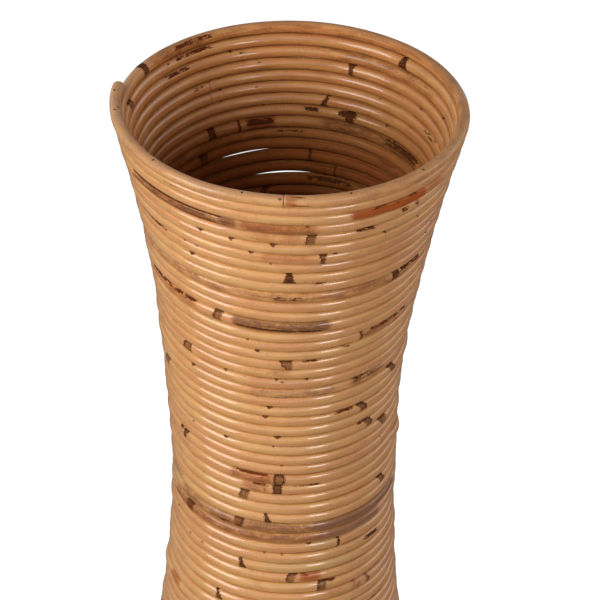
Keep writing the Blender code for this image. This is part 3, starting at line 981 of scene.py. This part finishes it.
def speck_mask(finish, skin):
    """Where small dark specks lie, larger ones on the upper side and smaller ones all round."""
    large = finish.cells(finish.stretched(skin.straight, (1, 1, 0.75)), scale=62)
    small = finish.cells(skin.straight, scale=110)
    upper = (1 - large.ramp(0.045, 0.075)) * skin.up.ramp(0.35, 0.6)
    return upper.larger((1 - small.ramp(0.03, 0.055)) * 0.8)


def scar_masks(finish, skin):
    """Where a scar's middle is, where its ring is dark, and how dark the middle is."""
    up, rough = skin.up, skin.rough
    away, half, wider = finish.attribute("scar").parts()
    pinch, slant, bend = finish.attribute("scar_lean").parts()
    side, fill, reach = finish.attribute("scar_look").parts()
    level = up * up
    reached = up.ramp(reach, reach + 0.3)
    ragged = ((rough - 0.5) * 6.0 + (skin.fine - 0.5) * 2.0) * (0.25 + 0.75 * reached)
    spread = half * (1 + wider * up) * (1 - pinch * (1 - level)) * reached
    from_middle = away - (slant * up + bend * (1 - level * 2))
    inside_by = spread - abs(from_middle) + ragged
    near = finish.attribute("scar_near", "Fac")
    inside = inside_by.ramp(-0.2, 0.3) * near * reached.ramp(0.0, 0.15)
    sided = (from_middle * side).ramp(-2.5, 0.5)
    one_sided = abs(side).ramp(0.0, 0.5)
    edge = (1 - inside_by.ramp(1.1, 2.2)) * (1 - one_sided * (1 - sided))
    top = (abs(up) + (rough - 0.5) * 0.8).ramp(0.55, 0.85)
    small = reach.ramp(-1, 0)
    return inside, inside * edge.larger(top * 0.8) * (1 - 0.5 * small), fill


def cane_finish():
    material = new_material("lacquered_cane")
    finish = Finish(material, Coat_Roughness=0.15, Specular_IOR_Level=0.05, Coat_IOR=1.6)
    skin = cane_skin(finish)
    lines, redness = line_masks(finish, skin)
    inside, edge, fill = scar_masks(finish, skin)
    colour = paint_groove_light_and_shade(finish, skin, stain_cane(finish, skin, honey_cane(finish, skin)))
    mottle = skin.rough * 0.50 + skin.fine * 0.20 + skin.flecks * 0.30 + 0.02 - fill * 0.06
    pith = finish.mix(skin.pores.ramp(0.52, 0.60), CANE_TONES["pith"], CANE_TONES["pores"])
    colour = finish.over(
        colour,
        (lines, finish.mix(redness, CANE_TONES["line"], CANE_TONES["red line"])),
        (speck_mask(finish, skin) * 0.85, CANE_TONES["specks"]),
        (inside * (0.55 + 0.45 * fill), finish.stops(mottle, SCAR_MOTTLE)),
        (edge * 0.92, CANE_TONES["scar edge"]),
        (skin.cut.ramp(0.05, 0.25), pith),
    )

    worn = (inside * 0.75).larger(edge).larger(lines * 0.9).larger(skin.cut)
    cloud, fibres = skin.cloud - 0.5, skin.fibres - 0.5
    lacquer = 0.92 + 0.5 * cloud - 0.95 * worn - 0.85 * skin.unsprayed - 0.9 * skin.groove
    lacquer = lacquer - 0.75 * skin.red - 0.3 * skin.brown - 0.25 * skin.indoors - 0.45 * (1 - skin.covered)
    finish.connect(
        Base_Color=colour,
        Roughness=0.36 + 0.22 * cloud + 0.12 * fibres + 0.30 * worn + 0.5 * skin.groove,
        Coat_Weight=lacquer.clamped(),
    )
    relief = skin.fibres * 0.1 + skin.strands * 0.15 + skin.cloud * 0.8 + skin.swells * 2.8
    relief = relief + skin.rough * worn * 0.9 - inside * 0.5 - lines * 0.6
    finish.bump(relief, strength=0.35, distance=0.00038)
    return material


def board_finish():
    material = new_material("sealed_plywood")
    finish = Finish(material, IOR=1.45)
    place = finish.node("ShaderNodeTexCoord", {}, output="Object")
    grain = finish.noise(
        finish.stretched(place, (1, 0.06, 1)), scale=420, detail=4, roughness=0.6, distortion=0.4
    )
    pores = finish.noise(finish.stretched(place, (1, 0.03, 1)), scale=2400, roughness=0.6)
    layers = finish.noise(finish.stretched(place, (0.01, 0.01, 1)), scale=700, detail=1)
    colour = finish.over(
        finish.mix(grain.ramp(0.35, 0.65), BOARD_TONES["pale"], BOARD_TONES["grain"]),
        (pores.ramp(0.52, 0.62) * 0.5, BOARD_TONES["pores"]),
        (layers.ramp(0.45, 0.6) * 0.3, BOARD_TONES["layers"]),
    )
    finish.connect(Base_Color=colour, Roughness=0.55 + 0.3 * (grain - 0.5))
    finish.bump(grain * 0.4 + pores * 0.6, strength=0.4, distance=0.0003)
    return material


def brad_finish():
    material = new_material("blued_steel")
    finish = Finish(material, IOR=1.5)
    place = finish.node("ShaderNodeTexCoord", {}, output="Object")
    tarnish = finish.noise(place, scale=1800, detail=3, roughness=0.6)
    finish.connect(
        Base_Color=finish.mix(tarnish.ramp(0.4, 0.65), BRAD_TONES["blued"], BRAD_TONES["rust"]),
        Roughness=0.38 + 0.4 * (tarnish - 0.4),
        Metallic=1 - tarnish.ramp(0.5, 0.7),
    )
    finish.bump(tarnish, strength=0.3, distance=0.0001)
    return material


# Pieces

BOARD_THICKNESS = 0.015
BOARD_CLEARANCE = 0.0004
BOARD_ROUNDING = 0.0008
BOARD_STEPS = 128
# (radius, height) of a brad's domed head, in millimetres, from the top down
BRAD_HEAD = ((0.0, 0.32), (0.35, 0.29), (0.65, 0.18), (0.85, 0.0), (0.80, -0.25), (0.42, -0.55))
BRAD_HEAD_UNIT = 0.001
BRAD_SHANK_RADIUS = 0.00042
BRAD_SHANK_TOP = -0.0012
BRAD_POINT_LENGTH = 0.002
BRAD_STEPS = 20
FOOT_BRADS = 6
TURNED_CREASE_ANGLE = 35


def turned(name, profile, steps, material, place=Matrix.Identity(4)):
    """A turned piece from its profile of (radius, height), from the top down."""
    bm = bmesh.new()
    rings = []
    for radius, height in profile:
        if radius == 0:
            rings.append([bm.verts.new((0, 0, height))])
            continue
        angles = [2 * math.pi * i / steps for i in range(steps)]
        rings.append([bm.verts.new((radius * math.cos(a), radius * math.sin(a), height)) for a in angles])
    for upper, lower in zip(rings, rings[1:]):
        for i in range(steps):
            j = (i + 1) % steps
            corners = [(upper, i), (lower, i), (lower, j), (upper, j)]
            bm.faces.new(list(dict.fromkeys(ring[spot % len(ring)] for ring, spot in corners)))
    bmesh.ops.recalc_face_normals(bm, faces=bm.faces)
    mesh = bpy.data.meshes.new(name)
    bm.to_mesh(mesh)
    bm.free()
    mesh.transform(place)
    mesh.shade_smooth()
    mesh.set_sharp_from_angle(angle=math.radians(TURNED_CREASE_ANGLE))
    mesh.materials.append(material)
    return add_object(name, mesh)


def stands_for(piece, node):
    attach(piece, "root")
    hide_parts(node)


def make_canes(material):
    half_gaps = [BUTT_GAP / 2 / float(metres_per_turn(turns)) for turns in JOINTS]
    starts = [0.0] + [turns + half_gap for turns, half_gap in zip(JOINTS, half_gaps)]
    ends = [turns - half_gap for turns, half_gap in zip(JOINTS, half_gaps)] + [COIL_TURNS]
    for number, (start, end) in enumerate(zip(starts, ends), 1):
        piece = make_cane(number, start, end, material)
        if number == len(starts):
            plane_level(piece)
        stands_for(piece, f"cane_{number:02d}")


def make_board(material):
    def edge(height):
        radius, _, lean = WALL.at(WALL.down_to(height))
        return float(radius) - CANE_DIAMETER / 2 / math.cos(float(lean)) - 2 * BOARD_CLEARANCE

    top, soft = BOARD_THICKNESS, BOARD_ROUNDING
    profile = [
        (0, top),
        (edge(top) / 2, top),
        (edge(top) - 2 * soft, top),
        (edge(top) - soft / 2, top - soft / 3),
        (edge(top - soft), top - soft),
        (edge(top / 2), top / 2),
        (edge(soft), soft),
        (edge(0) - soft / 2, soft / 3),
        (edge(0) - 2 * soft, 0),
        (edge(0) / 2, 0),
        (0, 0),
    ]
    stands_for(turned("plywood_board", profile, BOARD_STEPS, material), "base_board")


def brad_axis(node):
    """(one end, the other end) of a brad's solid, along its length."""
    points = np.array([vertex.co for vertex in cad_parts[node].data.vertices])
    middle = points.mean(0)
    direction = np.linalg.svd(points - middle, full_matrices=False)[2][0]
    reach = (points - middle) @ direction
    return Vector(middle + direction * reach.min()), Vector(middle + direction * reach.max())


def make_brad(node, ends, turns, material):
    """A brad from its head's to its tip's end, with its domed head on the cane at a place on the coil."""
    head, tip = ends
    middle, _, _, radius = COIL.place(np.array(turns))
    inward = (tip - head).normalized()
    seat = Vector(middle) - inward * float(radius)
    length = (tip - seat).dot(inward)
    profile = [(r * BRAD_HEAD_UNIT, h * BRAD_HEAD_UNIT) for r, h in BRAD_HEAD]
    profile += [
        (BRAD_SHANK_RADIUS, BRAD_SHANK_TOP),
        (BRAD_SHANK_RADIUS, BRAD_POINT_LENGTH - length),
        (0, -length),
    ]
    place = Matrix.Translation(seat) @ inward.to_track_quat("-Z", "Y").to_matrix().to_4x4()
    stands_for(turned(f"{node}_domed", profile, BRAD_STEPS, material, place), node)


def make_brads(material):
    """The brads whose heads show. The ones at the hidden joints keep their solids."""
    for number, angle in enumerate(RIM_BRAD_ANGLES, 1):
        node = f"rim_brad_{number}"
        ends = sorted(brad_axis(node), key=lambda point: -point.z)
        make_brad(node, ends, turns_at(angle, 0), material)
    for number in range(1, FOOT_BRADS + 1):
        node = f"foot_brad_{number}"
        ends = sorted(brad_axis(node), key=lambda point: -math.hypot(point.x, point.y))
        first = turns_at(math.degrees(math.atan2(ends[0].x, -ends[0].y)), 0)
        turns = first + round(WALL.down_to(ends[0].z) / PITCH - first)
        make_brad(node, ends, turns, material)
    for node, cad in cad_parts.items():
        if node.startswith("joint_brad"):
            cad.data.materials.clear()
            cad.data.materials.append(material)


# Studio

FRAME_PIXELS = 600
SENSOR = 36.0
FOCAL_PIXELS = 4355.0
CAMERA_DISTANCE = 3.0
CAMERA_REACH = 50
CAMERA_ELEVATION = 31.042
CAMERA_ROLL = 1.328
RIM_MIDDLE_PIXEL = (291.0, 104.78)
# Name, angle, elevation, distance, width and height in degrees, radiance, colour
LAMPS = (
    ("left_softbox", -56.5, 27, 1.7, (33, 42), 6.8, (1, 1, 1)),
    ("right_softbox", 33.5, 18, 1.9, (16, 20), 9.2, (1.0, 0.95, 0.91)),
    ("front_fill", -5, -1, 1.6, (90, 20), 1.1, (1, 1, 1)),
    ("front_high", -3, 40, 1.9, (60, 24), 0.75, (1, 1, 1)),
    ("right_edge_glow", 112, 20, 2.0, (50, 40), 1.5, (1.0, 0.90, 0.86)),
)
LAMP_AIM_HEIGHT = 0.40
WORLD_FILL = 0.03
FLOOR_SIZE = 9.0
FLOOR_DROP = 0.0002
FLOOR_TONE = 0.38
FLOOR_GLOW = 0.9


def add_camera():
    """The photograph's camera, which sees the middle of the rim at its place in the picture."""
    camera = bpy.data.cameras.new("photograph")
    camera.sensor_width = SENSOR
    camera.lens = FOCAL_PIXELS / FRAME_PIXELS * SENSOR
    camera.clip_end = CAMERA_REACH
    rim_middle = Vector((0, 0, HEIGHT - CANE_DIAMETER / 2))
    elevation = math.radians(CAMERA_ELEVATION)
    back = Vector((0, -math.cos(elevation), math.sin(elevation)))
    looking = back.to_track_quat("Z", "Y").to_matrix()
    rolled = looking @ Matrix.Rotation(math.radians(CAMERA_ROLL), 3, "Z")
    right, down = ((pixel - FRAME_PIXELS / 2) / FOCAL_PIXELS for pixel in RIM_MIDDLE_PIXEL)
    seen = Vector((right, -down, -1)).normalized()
    turned_to = seen.rotation_difference(Vector((0, 0, -1))).to_matrix()
    made = add_object("photograph", camera)
    place = Matrix.Translation(rim_middle + back * CAMERA_DISTANCE)
    made.matrix_world = place @ (rolled @ turned_to).to_4x4()
    bpy.context.scene.camera = made


def add_softbox(name, angle, elevation, distance, size, radiance, colour):
    """A rectangular lamp that faces the vase, where and as large as the vase sees it."""
    aim = Vector((0, 0, LAMP_AIM_HEIGHT))
    turned_to, raised = math.radians(angle), math.radians(elevation)
    level = math.cos(raised)
    away = Vector((math.sin(turned_to) * level, -math.cos(turned_to) * level, math.sin(raised)))
    lamp = bpy.data.lights.new(name, "AREA")
    lamp.shape = "RECTANGLE"
    lamp.color = colour
    lamp.size, lamp.size_y = (2 * distance * math.tan(math.radians(side / 2)) for side in size)
    lamp.energy = radiance * math.pi * lamp.size * lamp.size_y
    facing = away.to_track_quat("Z", "Y").to_matrix().to_4x4()
    add_object(name, lamp).matrix_world = Matrix.Translation(aim + away * distance) @ facing


def add_world():
    """White where the camera, reflections and clear pieces show it, and a weak light on the vase."""
    world = bpy.data.worlds.new("studio")
    world.use_nodes = True
    bpy.context.scene.world = world
    finish = Finish(world, "Background", Color=(1, 1, 1, 1))
    seen = finish.seen("Is Camera Ray")
    for ray in ("Is Glossy Ray", "Is Transmission Ray"):
        seen = seen.larger(finish.seen(ray))
    finish.connect(Strength=seen + (1 - seen) * WORLD_FILL)


def add_floor():
    """A pale floor that the camera sees as white, with the vase's shadow on it."""
    material = new_material("pale_floor")
    tone = (FLOOR_TONE, FLOOR_TONE, FLOOR_TONE, 1)
    finish = Finish(material, Base_Color=tone, Roughness=0.9, Emission_Strength=1.0)
    glow = (FLOOR_GLOW, FLOOR_GLOW, FLOOR_GLOW)
    finish.connect(Emission_Color=finish.mix(finish.seen("Is Camera Ray"), (0, 0, 0), glow))
    mesh = bpy.data.meshes.new("floor")
    half = FLOOR_SIZE / 2
    corners = [(-half, -half, 0), (half, -half, 0), (half, half, 0), (-half, half, 0)]
    mesh.from_pydata(corners, [], [(0, 1, 2, 3)])
    mesh.materials.append(material)
    floor = add_object("floor", mesh)
    floor.location.z = -FLOOR_DROP


add_camera()
make_canes(cane_finish())
make_board(board_finish())
make_brads(brad_finish())
add_world()
add_floor()
for lamp in LAMPS:
    add_softbox(*lamp)
bpy.context.scene.view_settings.view_transform = "Standard"
